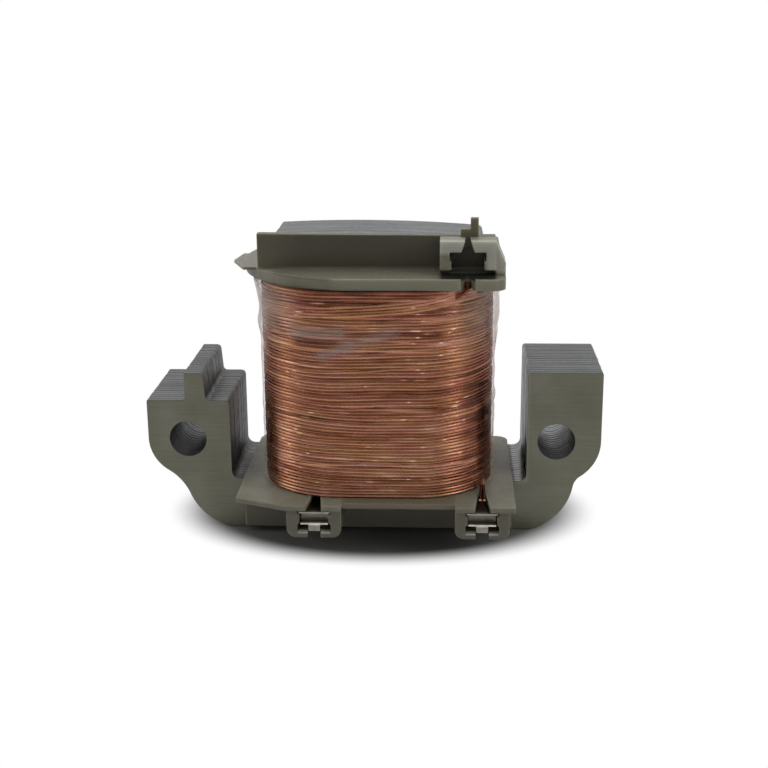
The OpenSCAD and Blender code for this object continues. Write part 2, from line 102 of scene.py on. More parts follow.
def add(tree, kind, into=None, stops=(), **settings):
    """One node: its own settings, `into` for inputs (a value or a socket to link), `stops` for a ramp."""
    node = tree.nodes.new("ShaderNode" + kind)
    for key, value in settings.items():
        setattr(node, key, value)
    for key, value in (into or {}).items():
        if isinstance(value, bpy.types.NodeSocket):
            tree.links.new(value, node.inputs[key])
        else:
            node.inputs[key].default_value = value
    for i, (place, code) in enumerate(stops):
        element = node.color_ramp.elements[i] if i < 2 else node.color_ramp.elements.new(place)
        element.position, element.color = place, paint(code)
    return node


def blank(name):
    """A new material with its tree and its shader."""
    material = bpy.data.materials.new(name)
    material.use_nodes = True
    return material, material.node_tree, material.node_tree.nodes["Principled BSDF"]


def per(mm):
    """Texture scale that makes one step of a pattern `mm` millimetres long."""
    return 1 / (mm * MM)


def zone(tree, axes, spans):
    """Mask: 1 inside the spans, (low, high, soft) in mm along an axis, fading to 0 over `soft` outside."""
    mask = 1.0
    for axis, (low, high, soft) in spans.items():
        for edge, out in ((low, low - soft), (high, high + soft)):
            step = add(tree, "MapRange", {
                "Value": axes.outputs[axis], "From Min": out * MM, "From Max": edge * MM})
            mask = add(tree, "Math", {0: step.outputs[0], 1: mask}, operation="MULTIPLY").outputs[0]
    return mask


print("half grey #808080 is", round(float(paint("#808080")[0]), 3), "in linear light")


# %% Meshes and pieces
def grid_mesh(name, points):
    """Mesh of a grid of points (rows, columns, 3) in mm. A quad joins each point to the next row and the
    next column, and the last column joins the first."""
    rows, columns = points.shape[:2]
    row = np.arange(rows - 1)[:, None] * columns
    here = np.arange(columns)[None, :]
    after = (here + 1) % columns
    above = row + columns
    quads = np.stack([row + here, row + after, above + after, above + here], -1).reshape(-1, 4)
    mesh = bpy.data.meshes.new(name)
    mesh.vertices.add(rows * columns)
    mesh.vertices.foreach_set("co", (points * MM).astype(np.float32).ravel())
    mesh.loops.add(quads.size)
    mesh.loops.foreach_set("vertex_index", quads.astype(np.int32).ravel())
    mesh.polygons.add(len(quads))
    mesh.polygons.foreach_set("loop_start", np.arange(0, quads.size, 4, dtype=np.int32))
    mesh.polygons.foreach_set("use_smooth", np.ones(len(quads), bool))
    mesh.update(calc_edges=True)
    mesh.validate()
    return mesh


def note(mesh, name, values):
    """One number per vertex, which a material can read by name."""
    mesh.attributes.new(name, "FLOAT", "POINT").data.foreach_set("value", values.astype(np.float32).ravel())


def place(mesh, material, slot, *stood_for):
    """The finished piece: it rides on the part's one body and stands for the named nodes."""
    piece = bpy.data.objects.new(mesh.name, mesh)
    bpy.context.scene.collection.objects.link(piece)
    mesh.materials.clear()
    mesh.materials.append(material)
    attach(piece, "root")
    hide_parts(*stood_for)
    return piece


print("pieces are meshes in metres, from grids in mm; 1 mm is", MM, "m")

# %% [markdown]
# ## The light and the white sweep
# The photograph was taken under soft light from above and behind: tops are pale and the faces towards the
# camera are darker. Two narrow bright places at the sides, like tall windows, draw the pale columns on the
# coil. A sky that glows round three directions does this evenly over the whole floor, which lamps close by
# can't. The sweep is a board, drawn as a profile turned round the object. In an oval under the object it is
# painted mid grey, a painted shadow that makes the shadow deep, and beyond that it shows plain white. For the
# light that it throws back on the object it has another look: dark close by, and pale farther out.

# %% Sky
# each glow is a direction, its strength, and how fast it fades away from that direction
GLOWS = [((0.0, 0.6, 0.8), 1.3, 2.5), ((-0.85, -0.02, 0.52), 3.5, 90.0), ((0.78, -0.36, 0.52), 4.6, 90.0)]
FILL_LIGHT = 0.03

world = bpy.data.worlds.new("sky")
bpy.context.scene.world = world
world.use_nodes = True
sky = world.node_tree
way = add(sky, "TexCoord").outputs["Generated"]
total = FILL_LIGHT
for toward, light, fall in GLOWS:
    unit = np.array(toward) / np.linalg.norm(toward)
    close = add(sky, "VectorMath", {0: way, 1: unit}, operation="DOT_PRODUCT").outputs["Value"]
    nearness = add(sky, "Math", {0: close, 1: 0.5, 2: 0.5}, operation="MULTIPLY_ADD").outputs[0]
    glow = add(sky, "Math", {0: nearness, 1: fall}, operation="POWER").outputs[0]
    total = add(sky, "Math", {0: glow, 1: light, 2: total}, operation="MULTIPLY_ADD").outputs[0]
high = add(sky, "SeparateXYZ", {0: way}).outputs["Z"]
tint = add(sky, "ValToRGB", {0: high}, stops=[(0, "#fff4e2"), (0.6, "#fbfcff")]).outputs["Color"]
back = sky.nodes["Background"]
sky.links.new(tint, back.inputs["Color"])
sky.links.new(total, back.inputs["Strength"])
print("sky:", len(GLOWS), "glows over a fill of", FILL_LIGHT)

# %% The sweep's shape
# a flat disc, then an arc of radius SWEEP_R that climbs by SWEEP_RISE degrees, turned round the Z axis
SWEEP_FLAT, SWEEP_R, SWEEP_RISE, SWEEP_DROP = 900, 700, 70, 0.05
SWEEP_SIDES, FIRST_RING, FLAT_RINGS, ARC_RINGS = 96, 20, 14, 15

turn = np.linspace(0, 2 * np.pi, SWEEP_SIDES, endpoint=False)
rise = np.radians(np.linspace(0, SWEEP_RISE, ARC_RINGS + 1)[1:])
flat_reach = np.geomspace(FIRST_RING, SWEEP_FLAT, FLAT_RINGS)
reach = np.concatenate([[0], flat_reach, SWEEP_FLAT + SWEEP_R * np.sin(rise)])[:, None]
height = np.concatenate([np.zeros(FLAT_RINGS + 1), SWEEP_R * (1 - np.cos(rise))])[:, None] - SWEEP_DROP
sweep_points = np.stack([reach * np.cos(turn), reach * np.sin(turn), np.repeat(height, SWEEP_SIDES, 1)], -1)
sweep = bpy.data.objects.new("sweep", grid_mesh("sweep", sweep_points))
bpy.context.scene.collection.objects.link(sweep)
print("sweep", len(sweep.data.polygons), "faces")

# %% The sweep's board
# matt board: an even tone with no gloss, painted mid grey where the shadow lies, a painted shadow, and plain
# white beyond it
SHADOW_X, SHADOW_Y, SHADOW_FADE = 30, 20.5, (0.84, 1.14)
BOUNCE_DARK, BOUNCE_PALE = 150, 300

board, tree, shader = blank("matt_white_board")
shader.inputs["Roughness"].default_value = 0.9
shader.inputs["Specular IOR Level"].default_value = 0
# painted shadow: mid grey under the object, where the shadow lies
shader.inputs["Base Color"].default_value = paint("#6e6e6b")
spot = add(tree, "TexCoord").outputs["Object"]
shrink = (per(SHADOW_X), per(SHADOW_Y), per(SHADOW_Y))
oval = add(tree, "Mapping", {"Vector": spot, "Scale": shrink}).outputs[0]
away = add(tree, "VectorMath", {0: oval}, operation="LENGTH").outputs["Value"]
fade = add(tree, "MapRange", {"Value": away, "From Min": SHADOW_FADE[0], "From Max": SHADOW_FADE[1]},
           interpolation_type="SMOOTHSTEP")
white = add(tree, "Emission", {"Color": paint("#ffffff"), "Strength": 1.0})
shown = add(tree, "MixShader", {0: fade.outputs[0], 1: shader.outputs[0], 2: white.outputs[0]})
# what bounced light meets: dark close by, pale farther out
far = add(tree, "VectorMath", {0: spot}, operation="LENGTH").outputs["Value"]
paler = add(tree, "MapRange", {"Value": far, "From Min": BOUNCE_DARK * MM, "From Max": BOUNCE_PALE * MM})
bounce = add(tree, "Mix", {
    0: paler.outputs[0], "A": paint("#2e2e2d"), "B": paint("#f2f2f2")}, data_type="RGBA")
lit = add(tree, "BsdfDiffuse", {"Color": bounce.outputs["Result"]})
rays = add(tree, "LightPath").outputs
seen = add(tree, "Math", {0: rays["Is Camera Ray"], 1: rays["Is Glossy Ray"]}, operation="MAXIMUM").outputs[0]
seen = add(tree, "Math", {0: seen, 1: rays["Is Transmission Ray"]}, operation="MAXIMUM").outputs[0]
both = add(tree, "MixShader", {0: seen, 1: lit.outputs[0], 2: shown.outputs[0]})
tree.links.new(both.outputs[0], tree.nodes["Material Output"].inputs["Surface"])
sweep.data.materials.append(board)
print("board", board.name, "with a shadow oval of", 2 * SHADOW_X, "by", 2 * SHADOW_Y, "mm")

# %% [markdown]
# ## Stamped steel
# The core is electrical steel. Its sheet faces carry a thin olive-grey insulating coat with faint rolling
# lines. A stamped edge is bare: the punch burnishes the first part of the thickness and tears the rest, so
# every sheet shows one bright and one dull band. The shader tells the two apart by the surface's direction,
# and finds its place within a sheet from the depth into the stack. Three places differ: the pole's face is
# ground; the inner side of the right ear is less rough and painted brighter, a painted light from the left;
# and the walls of the bolt holes are burnished, with painted light that grows towards the back of the stack
# and is stronger in the right hole.

# %% The sheets' coated faces
SHEET, STACK_FRONT = 1.0, -8.5


def coated_face(tree, spot):
    """Olive coat in soft patches, with rolling lines along the sheet. Gives the colour and the lines."""
    # one line about every 0.3 mm
    lines = add(tree, "Mapping", {"Vector": spot, "Scale": (per(9), per(3), per(0.3))}).outputs[0]
    rolled = add(tree, "TexNoise", {"Vector": lines, "Scale": 1.0, "Detail": 3.0}).outputs[0]
    ruled = add(tree, "MapRange", {
        "Value": rolled, "From Min": 0.25, "From Max": 0.75, "To Min": 0.86, "To Max": 1.12})
    patch = add(tree, "TexNoise", {
        "Vector": spot, "Scale": per(7), "Detail": 4.0, "Roughness": 0.6}).outputs[0]
    coat = add(tree, "ValToRGB", {0: patch}, stops=[(0.3, "#6f6e5f"), (0.55, "#787768"), (0.75, "#828174")])
    coated = add(tree, "VectorMath", {0: coat.outputs[0], 1: ruled.outputs[0]}, operation="MULTIPLY")
    return coated.outputs[0], rolled


print("sheets of", SHEET, "mm from y =", STACK_FRONT, "mm")

# %% The sheets' bare edges
POLE_FACE = {"Z": (41, 50, 2)}
RIGHT_INNER_SIDE = {"X": (20.6, 22.3, 0.2), "Z": (7.6, 25, 0.2)}
HOLE_MIDDLE, HOLE_HALF, HOLE_Z = -1.05, 27.5, 14.0
HOLE_WALL, BEYOND_WALL = 2.85, 3.0
HOLE_DEEP, HOLE_AT_FRONT, HOLE_LEFT, HOLE_RIGHT = 4, 0.75, 1.6, 2.7


def burnished_holes_painted_light(tree, axes):
    """Gain of the bolt holes' walls: 1 outside them, and growing from the stack's front towards its back,
    more in the right hole than the left. The walls are burnished; the growth to the back and the brighter
    right hole are painted light.
    """
    across = add(tree, "Math", {0: axes.outputs["X"], 1: HOLE_MIDDLE * MM}, operation="SUBTRACT").outputs[0]
    across = add(tree, "Math", {0: across}, operation="ABSOLUTE").outputs[0]
    hole = add(tree, "CombineXYZ", {0: across, 2: axes.outputs["Z"]}).outputs[0]
    centre = (HOLE_HALF * MM, 0, HOLE_Z * MM)
    near = add(tree, "VectorMath", {0: hole, 1: centre}, operation="DISTANCE").outputs["Value"]
    # painted light: the right hole brighter than the left, and both brighter towards the back
    side = add(tree, "MapRange", {
        "Value": axes.outputs["X"], "From Min": -MM, "From Max": MM,
        "To Min": HOLE_LEFT, "To Max": HOLE_RIGHT})
    deep = add(tree, "MapRange", {
        "Value": axes.outputs["Y"], "From Min": STACK_FRONT * MM, "From Max": HOLE_DEEP * MM,
        "To Min": HOLE_AT_FRONT, "To Max": side.outputs[0]})
    return add(tree, "MapRange", {
        "Value": near, "From Min": HOLE_WALL * MM, "From Max": BEYOND_WALL * MM,
        "To Min": deep.outputs[0], "To Max": 1.0}).outputs[0]


def bare_edge(tree, spot, axes, smoother_and_painted_bright):
    """Banded steel: a colour by depth within a sheet, times the sheet's own tone, grit and the gains."""
    deep = add(tree, "Math", {0: axes.outputs["Y"], 1: per(SHEET), 2: -STACK_FRONT / SHEET},
               operation="MULTIPLY_ADD")
    share = add(tree, "Math", {0: deep.outputs[0]}, operation="FRACT").outputs[0]
    band = add(tree, "ValToRGB", {0: share}, stops=[
        (0, "#1b1c1c"), (0.16, "#6b6e6f"), (0.5, "#696b6c"),
        (0.62, "#5b5d5d"), (0.84, "#565757"), (1, "#1b1c1c")])
    # grinding leaves faint bands on the pole's face, and a brighter tone
    ground = zone(tree, axes, POLE_FACE)
    evened = add(tree, "Math", {0: ground, 1: 0.75}, operation="MULTIPLY").outputs[0]
    band = add(tree, "Mix", {0: evened, "A": band.outputs[0], "B": paint("#585a5b")}, data_type="RGBA")
    own = add(tree, "MapRange", {
        "Value": add(tree, "ObjectInfo").outputs["Random"], "To Min": 0.92, "To Max": 1.07}).outputs[0]
    grit = add(tree, "TexNoise", {"Vector": spot, "Scale": per(0.5), "Detail": 3.0}).outputs[0]
    torn = add(tree, "MapRange", {
        "Value": grit, "From Min": 0.3, "From Max": 0.7, "To Min": 0.8, "To Max": 1.18}).outputs[0]
    # the ground pole face is brighter; the right ear's inner side is painted brighter, a painted light from
    # the left
    brighter = [add(tree, "Math", {0: mask, 1: gain, 2: 1.0}, operation="MULTIPLY_ADD").outputs[0]
                for mask, gain in ((ground, 0.45), (smoother_and_painted_bright, 0.6))]
    bare = band.outputs["Result"]
    for gain in (own, torn, *brighter, burnished_holes_painted_light(tree, axes)):
        bare = add(tree, "VectorMath", {0: bare, 1: gain}, operation="MULTIPLY").outputs[0]
    return bare


print("bolt holes at x =", HOLE_MIDDLE - HOLE_HALF, "and", HOLE_MIDDLE + HOLE_HALF, "mm")


# %% Stamped steel finish
def stamped_steel():
    """Coated electrical steel sheet: satin olive faces, bare banded edges, each sheet a little different."""
    material, tree, shader = blank("stamped_electrical_steel")
    spot = add(tree, "TexCoord").outputs["Object"]
    axes = add(tree, "SeparateXYZ", {0: spot})
    # mask of the right ear's inner side: less rough, and painted brighter as a painted light
    smoother_and_painted_bright = zone(tree, axes, RIGHT_INNER_SIDE)
    coated, rolled = coated_face(tree, spot)
    bare = bare_edge(tree, spot, axes, smoother_and_painted_bright)
    facing = add(tree, "SeparateXYZ", {0: add(tree, "NewGeometry").outputs["Normal"]})
    flat = add(tree, "Math", {0: facing.outputs["Y"]}, operation="ABSOLUTE").outputs[0]
    face = add(tree, "MapRange", {"Value": flat, "From Min": 0.6, "From Max": 0.95}).outputs[0]
    colour = add(tree, "Mix", {0: face, "A": bare, "B": coated}, data_type="RGBA")
    tree.links.new(colour.outputs["Result"], shader.inputs["Base Color"])
    rough = add(tree, "MapRange", {
        "Value": rolled, "From Min": 0.2, "From Max": 0.8, "To Min": 0.42, "To Max": 0.6}).outputs[0]
    polish = add(tree, "Math", {0: smoother_and_painted_bright, 1: -0.3, 2: 1.0}, operation="MULTIPLY_ADD").outputs[0]
    rough = add(tree, "Math", {0: rough, 1: polish}, operation="MULTIPLY").outputs[0]
    tree.links.new(rough, shader.inputs["Roughness"])
    # the coat dulls the metal, so it is only half as metallic as bare steel
    shader.inputs["Metallic"].default_value = 0.55
    bump = add(tree, "Bump", {"Height": rolled, "Strength": 0.12, "Distance": 0.03 * MM})
    tree.links.new(bump.outputs[0], shader.inputs["Normal"])
    return material


steel = stamped_steel()
print("finish", steel.name)

# %% [markdown]
# ## Broken edges and rounded corners
# No stamped or moulded edge is perfectly sharp, and the thin highlight along it is what makes a part look
# solid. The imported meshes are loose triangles, so a copy is merged first, flat triangles are joined into
# whole faces, and a Bevel modifier then breaks every sharp edge by a few hundredths of a millimetre. The
# punch also rounds the top corners of a sheet by some tenths, so those few edges are bevelled in the mesh
# itself, before the modifier.

# %% Copy a node with broken edges
MERGE_WITHIN, FLAT_WITHIN, SHARP_OVER = 0.0005, 0.5, 35
CORNER_WITHIN, CORNER_STEPS, EDGE_STEPS = 0.1, 5, 2


def broken_edges(node, name, width, material, slot, shift=(0, 0, 0), rounded=()):
    """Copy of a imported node, merged and moved by `shift` mm, with its sharp edges bevelled by `width` mm.
    `rounded` lists a sheet's corners, (x, z, radius) in mm, whose edge through the sheet is rounded."""
    source = nodes[node].data
    spots = np.empty(len(source.vertices) * 3)
    source.vertices.foreach_get("co", spots)
    corners = np.empty(len(source.loops), np.int32)
    source.loops.foreach_get("vertex_index", corners)
    mesh = bpy.data.meshes.new(name)
    mesh.from_pydata(spots.reshape(-1, 3) + np.array(shift) * MM, [], corners.reshape(-1, 3))
    shell = bmesh.new()
    shell.from_mesh(mesh)
    bmesh.ops.remove_doubles(shell, verts=shell.verts, dist=MERGE_WITHIN * MM)
    flat = math.radians(FLAT_WITHIN)
    bmesh.ops.dissolve_limit(shell, angle_limit=flat, verts=shell.verts, edges=shell.edges)
    for x, z, r in rounded:
        corner = np.array([x + shift[0], z + shift[2]]) * MM
        through = [edge for edge in shell.edges
                   if max(np.hypot(*(corner - v.co.xz)) for v in edge.verts) < CORNER_WITHIN * MM]
        bmesh.ops.bevel(shell, geom=through, offset=r * MM, segments=CORNER_STEPS, profile=0.5,
                        affect="EDGES", clamp_overlap=True)
    shell.to_mesh(mesh)
    shell.free()
    mesh.polygons.foreach_set("use_smooth", np.ones(len(mesh.polygons), bool))
    mesh.set_sharp_from_angle(angle=math.radians(SHARP_OVER))
    piece = place(mesh, material, slot, node)
    bevel = piece.modifiers.new("broken edges", "BEVEL")
    bevel.width, bevel.segments = width * MM, EDGE_STEPS
    bevel.limit_method, bevel.angle_limit = "ANGLE", math.radians(SHARP_OVER)
    bevel.harden_normals = True
    return piece


print("edges over", SHARP_OVER, "degrees are broken in", EDGE_STEPS, "steps")

# %% The core's sheets
EDGE_BREAK, STACK_SLIP, SHEETS = 0.07, 0.035, 17
# the key, the left ear, the right ear; then both ends of the pole shoe
CORNERS = {
    "yoke": [(-25.95, 24.2, 0.6), (-22.1, 20, 0.7), (-34.55, 20, 0.25),
             (22.1, 24.6, 0.45), (33.05, 24.6, 0.3)],
    "pole": [(15.5, 43.45, 0.7), (-15.5, 43.95, 0.3)],
}
draw = np.random.default_rng(7)
slips = draw.uniform(-STACK_SLIP, STACK_SLIP, (2, SHEETS, 2))
for row, kind in enumerate(("yoke", "pole")):
    for i in range(SHEETS):
        slip = (slips[row, i, 0], 0, abs(slips[row, i, 1]))
        sheet = broken_edges(f"{kind}_lamination_{i + 1:02d}", f"{kind}_sheet_{i + 1:02d}", EDGE_BREAK, steel,
                             "core_steel", slip, CORNERS[kind])
    print(SHEETS, kind, "sheets of", len(sheet.data.polygons), "faces before the bevel")

# %% [markdown]
# ## The moulded bobbin
# The bobbin is one piece of moulded nylon, a beige grey with a soft sheen. Nylon lets some light in, so
# thin edges look paler and the wall in front of the dark core looks darker. A little subsurface light gives
# the first, with painted light on the thinnest edges. The second is painted shade, and so are the places
# shaded on the real moulding; the flange's rim and the lower pockets' floors carry painted highlights. These
# come from zones: boxes in millimetres with soft edges, each with a tone of its own, mixed over the nylon's
# cloudy colour one after another.

# %% Zones of tone on the bobbin
OVER_STEEL = {"Y": (-10.7, 0, 0.5), "Z": (40.8, 45.2, 0.5)}
POCKETS_X, POCKET_HALF = (-8.55, 15.35), 2.3
NYLON_ZONES = [
    # painted light: the upper pocket's thin roof, and the thin right end of the upper flange, paler as light
    # shines through them
    ({"X": (8.8, 18, 0.6), "Y": (-15.6, -13.6, 0.6), "Z": (43.7, 44.9, 0.6)}, "#aaaa9f"),
    ({"X": (15.9, 19, 0.5), "Y": (-18, -11.5, 0.5), "Z": (41, 43.5, 0.6)}, "#abaa9f"),
    # painted shade: the wire hitch, darker and browner
    ({"Z": (45.5, 49, 0.2)}, "#656049"),
    # painted shade on the wall over the steel, which stands in front of the dark core, and painted light a
    # little paler at its left end
    (OVER_STEEL, "#4a4635"),
    ({"X": (-20, -15.5, 5), **OVER_STEEL}, "#5a5542"),
    # painted shade: the shaded top of the upper flange, and the upper pocket's floor in the pocket's shadow
    ({"X": (-14, 9, 1), "Y": (-16.8, -10.7, 0.3), "Z": (40.1, 40.6, 0.2)}, "#6b6758"),
    ({"X": (9.4, 16.6, 0.6), "Y": (-17.0, -13, 0.25), "Z": (40.1, 40.6, 0.3)}, "#191813"),
    # painted highlight on the upper flange's rim, pale where it is thin; and its gate stub
    ({"X": (-15, 19, 0.5), "Y": (-18, -17.1, 0.2), "Z": (38.4, 40.7, 0.2)}, "#8b8975"),
    ({"X": (-23, -17.4, 0.6), "Z": (38.5, 41, 0.3)}, "#767365"),
    # painted shade: skirts and lower pockets, which lie deep under the lower flange
    ({"Z": (0, 7.4, 0.3)}, "#6a6757"),
    # painted highlight on the floor of each lower pocket
    *[({"X": (x - POCKET_HALF, x + POCKET_HALF, 0.1), "Y": (-21, -20, 0.3), "Z": (4.25, 4.6, 0.1)}, "#a8a89e")
      for x in POCKETS_X],
    # painted shade, with a painted brown reflection of the copper, on the front of the lower flange between
    # the two pockets
    ({"X": (-4.4, 11.2, 0.5), "Y": (-20, -16, 0.3), "Z": (7.4, 9, 0.3)}, "#6f6754"),
]
print("nylon with", len(NYLON_ZONES), "zones of tone")

# %% Moulded nylon finish
NYLON_EDGE_BREAK = 0.12


def moulded_nylon():
    """Nylon from a mould: satin, faintly mottled, light inside thin edges, with the zones' tones, most of
    them painted light and shade.
    """
    material, tree, shader = blank("moulded_nylon")
    spot = add(tree, "TexCoord").outputs["Object"]
    axes = add(tree, "SeparateXYZ", {0: spot})
    cloud = add(tree, "TexNoise", {
        "Vector": spot, "Scale": per(5), "Detail": 5.0, "Roughness": 0.65}).outputs[0]
    colour = add(tree, "ValToRGB", {0: cloud}, stops=[(0.3, "#757261"), (0.5, "#7e7b6a"), (0.72, "#898778")])
    colour = colour.outputs[0]
    for spans, code in NYLON_ZONES:
        mask = zone(tree, axes, spans)
        toned = add(tree, "Mix", {0: mask, "A": colour, "B": paint(code)}, data_type="RGBA")
        colour = toned.outputs["Result"]
    tree.links.new(colour, shader.inputs["Base Color"])
    grain = add(tree, "TexNoise", {"Vector": spot, "Scale": per(0.6), "Detail": 2.0}).outputs[0]
    rough = add(tree, "MapRange", {
        "Value": grain, "From Min": 0.3, "From Max": 0.7, "To Min": 0.44, "To Max": 0.58})
    tree.links.new(rough.outputs[0], shader.inputs["Roughness"])
    shader.inputs["IOR"].default_value = 1.53
    shader.inputs["Subsurface Weight"].default_value = 0.6
    shader.inputs["Subsurface Radius"].default_value = (1.0, 0.9, 0.7)
    shader.inputs["Subsurface Scale"].default_value = 2.0 * MM
    bump = add(tree, "Bump", {"Height": grain, "Strength": 0.15, "Distance": 0.04 * MM})
    tree.links.new(bump.outputs[0], shader.inputs["Normal"])
    return material


nylon = moulded_nylon()
bobbin = broken_edges("bobbin", "moulded_bobbin", NYLON_EDGE_BREAK, nylon, "bobbin_nylon")
print("bobbin", len(bobbin.data.polygons), "faces before the bevel")

# %% [markdown]
# ## The winding
# The coil is wild-wound enamelled wire: about 64 turns show on the outside, not quite parallel, with some
# lying over others. Modelling each turn as a tube would need half a million faces, of which most are
# hidden. What shows is the upper envelope of all the turns, so the surface is a grid of height against the
# way round, and at each point it takes the highest wire. The grid's rows sway with the turns, so the
# grooves stay clean with few faces. The number of the wire that wins is kept, so every turn has its own
# tone.

# %% Way round the winding
wind_low, wind_high = (np.array(c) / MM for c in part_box("winding"))
WIND_CORNER, COLUMNS, CORNER_POINTS = 11.5, 184, 65


def rounded_loop(half_x, half_y, r, count):
    """Equal steps round a rectangle of corner radius r. In a corner the point is the corner's centre plus r
    times (cos a, sin a). On a side the angle a stands still. Gives points, outward directions and angles."""
    corner = np.repeat(np.arange(4), CORNER_POINTS)
    a = np.pi / 2 * (corner + np.tile(np.linspace(0, 1, CORNER_POINTS), 4))
    x = np.array([1, -1, -1, 1])[corner] * (half_x - r) + r * np.cos(a)
    y = np.array([1, 1, -1, -1])[corner] * (half_y - r) + r * np.sin(a)
    x, y, a = np.append(x, x[0]), np.append(y, y[0]), np.append(a, 2 * np.pi)
    run = np.concatenate([[0], np.cumsum(np.hypot(np.diff(x), np.diff(y)))])
    stations = np.linspace(0, run[-1], count, endpoint=False)
    x, y, a = (np.interp(stations, run, v) for v in (x, y, a))
    return np.stack([x, y], -1), np.stack([np.cos(a), np.sin(a)], -1), a


outline, outward, angle = rounded_loop(wind_high[0], wind_high[1], WIND_CORNER, COLUMNS)
share = np.arange(COLUMNS) / COLUMNS
front = outward[:, 1] < 0
print("loop of", COLUMNS, "columns,", int(front.sum()), "of them in front")

# %% Turns that sway
WIRE_R, TURNS, BUNCH = 0.235, 64, 3
OWN_SWAY, BUNCH_SWAY, OWN_DEPTH, CALM_TURNS = 0.025, 0.11, 0.025, 4
draw = np.random.default_rng(21)
pitch = (wind_high[2] - wind_low[2]) / TURNS


def drift(rng, rows, share, low, high, size):
    """Smooth closed ripples, one per row: a sum of waves low..high round the loop, each 1 / wave strong."""
    waves = np.arange(low, high + 1)
    strong = (rng.normal(size=(rows, len(waves))) + 1j * rng.normal(size=(rows, len(waves)))) / waves
    ripple = np.real(strong @ np.exp(2j * np.pi * waves[:, None] * share[None, :]))
    return size * ripple / ripple.std()


# each turn lies a pitch above the last; single turns sway a little, bunches more, and less at the flanges
middle = np.arange(TURNS)[:, None] + 0.5
own_sway = drift(draw, TURNS, share, 1, 9, OWN_SWAY)
bunch = np.exp(-0.5 * ((middle - middle.T) / BUNCH) ** 2) @ drift(draw, TURNS, share, 2, 9, 1.0)
sway = own_sway + BUNCH_SWAY * bunch / bunch.std()
sway = sway * np.clip(np.minimum(middle, TURNS - middle) / CALM_TURNS, 0, 1)
main_z = wind_low[2] + pitch * middle + sway
main_d = drift(draw, TURNS, share, 1, 7, OWN_DEPTH)
print(TURNS, "turns, one every", round(float(pitch), 3), "mm")

# %% Rows that follow the turns
TURN_ROWS, END_GAP = 8, 0.02
step = np.arange(TURNS * TURN_ROWS + 1)[:, None] / TURN_ROWS
below = np.clip(np.floor(step - 0.5).astype(int), 0, TURNS - 2)
part = np.clip(step - 0.5 - below, 0, 1)
level_z = wind_low[2] + pitch * step + (1 - part) * sway[below[:, 0]] + part * sway[below[:, 0] + 1]
level_z = np.clip(level_z, wind_low[2] + END_GAP, wind_high[2] - END_GAP)
print("grid of", level_z.shape, "points, with a groove every", TURN_ROWS, "rows")

# %% Turns that cross or climb
CROSSING, CROSS_FOOT, CROSS_HEAD = 12, 1, 2
CROSS_SWAY, CROSS_DEPTH, CROSS_SUNK = 0.5, 0.08, 0.05
cross_at = draw.uniform(wind_low[2] + CROSS_FOOT, wind_high[2] - CROSS_HEAD, CROSSING)[:, None]
cross_z = cross_at + drift(draw, CROSSING, share, 1, 4, CROSS_SWAY)
cross_d = drift(draw, CROSSING, share, 1, 5, CROSS_DEPTH) - CROSS_SUNK

# the last turns climb along the front to the notch in the upper flange, and lie under the others elsewhere
CLIMBERS, NOTCH_X, PAST_NOTCH = 4, 12.6, 2
CLIMB, CLIMB_LENGTH, CLIMB_PITCH, CLIMB_TOP = 2.4, 9, 0.43, 0.15
ON_TOP, HIDDEN = 0.04, -0.5
left_of = np.clip(NOTCH_X - outline[:, 0], 0, None)
fall = np.where(front, CLIMB * (1 - np.exp(-left_of / CLIMB_LENGTH)), CLIMB)
climb_z = wind_high[2] - CLIMB_TOP - CLIMB_PITCH * np.arange(CLIMBERS)[:, None] - fall[None, :]
shows = front & (outline[:, 0] < NOTCH_X + PAST_NOTCH)
climb_d = np.where(shows, ON_TOP, HIDDEN) * np.ones((CLIMBERS, 1))
print(CROSSING, "crossing turns and", CLIMBERS, "that climb to the notch")

# %% The highest wire shows
WIRE_INSET, GROOVE = 0.3, 0.65
BORE_X, BORE_Y, BORE_CORNER = 8.8, 10.0, 1.2
strand_z = np.concatenate([main_z, cross_z, climb_z])
strand_d = np.concatenate([main_d, cross_d, climb_d])
highest = np.full(level_z.shape, -GROOVE * WIRE_R)
winner = np.zeros(level_z.shape, int)
for k, (wire_z, wire_d) in enumerate(zip(strand_z, strand_d)):
    # a round wire of radius r stands sqrt(r^2 - off^2) out of its own middle line
    off = level_z - wire_z[None, :]
    hump = np.sqrt(np.clip(WIRE_R ** 2 - off ** 2, 0, None)) - WIRE_R + wire_d
    better = (np.abs(off) < WIRE_R) & (hump > highest)
    highest = np.where(better, hump, highest)
    winner = np.where(better, k, winner)

shell_xy = outline[None] + outward[None] * (highest[..., None] - WIRE_INSET)
shell = np.concatenate([shell_xy, level_z[..., None]], -1)
bore = rounded_loop(BORE_X, BORE_Y, BORE_CORNER, COLUMNS)[0]
ends = [np.concatenate([bore, np.full((COLUMNS, 1), z)], -1)[None] for z in (level_z[0, 0], level_z[-1, 0])]
body = np.concatenate([ends[0], shell, ends[1], ends[0]])
print(len(strand_z), "wires,", len(np.unique(winner)), "of them show")


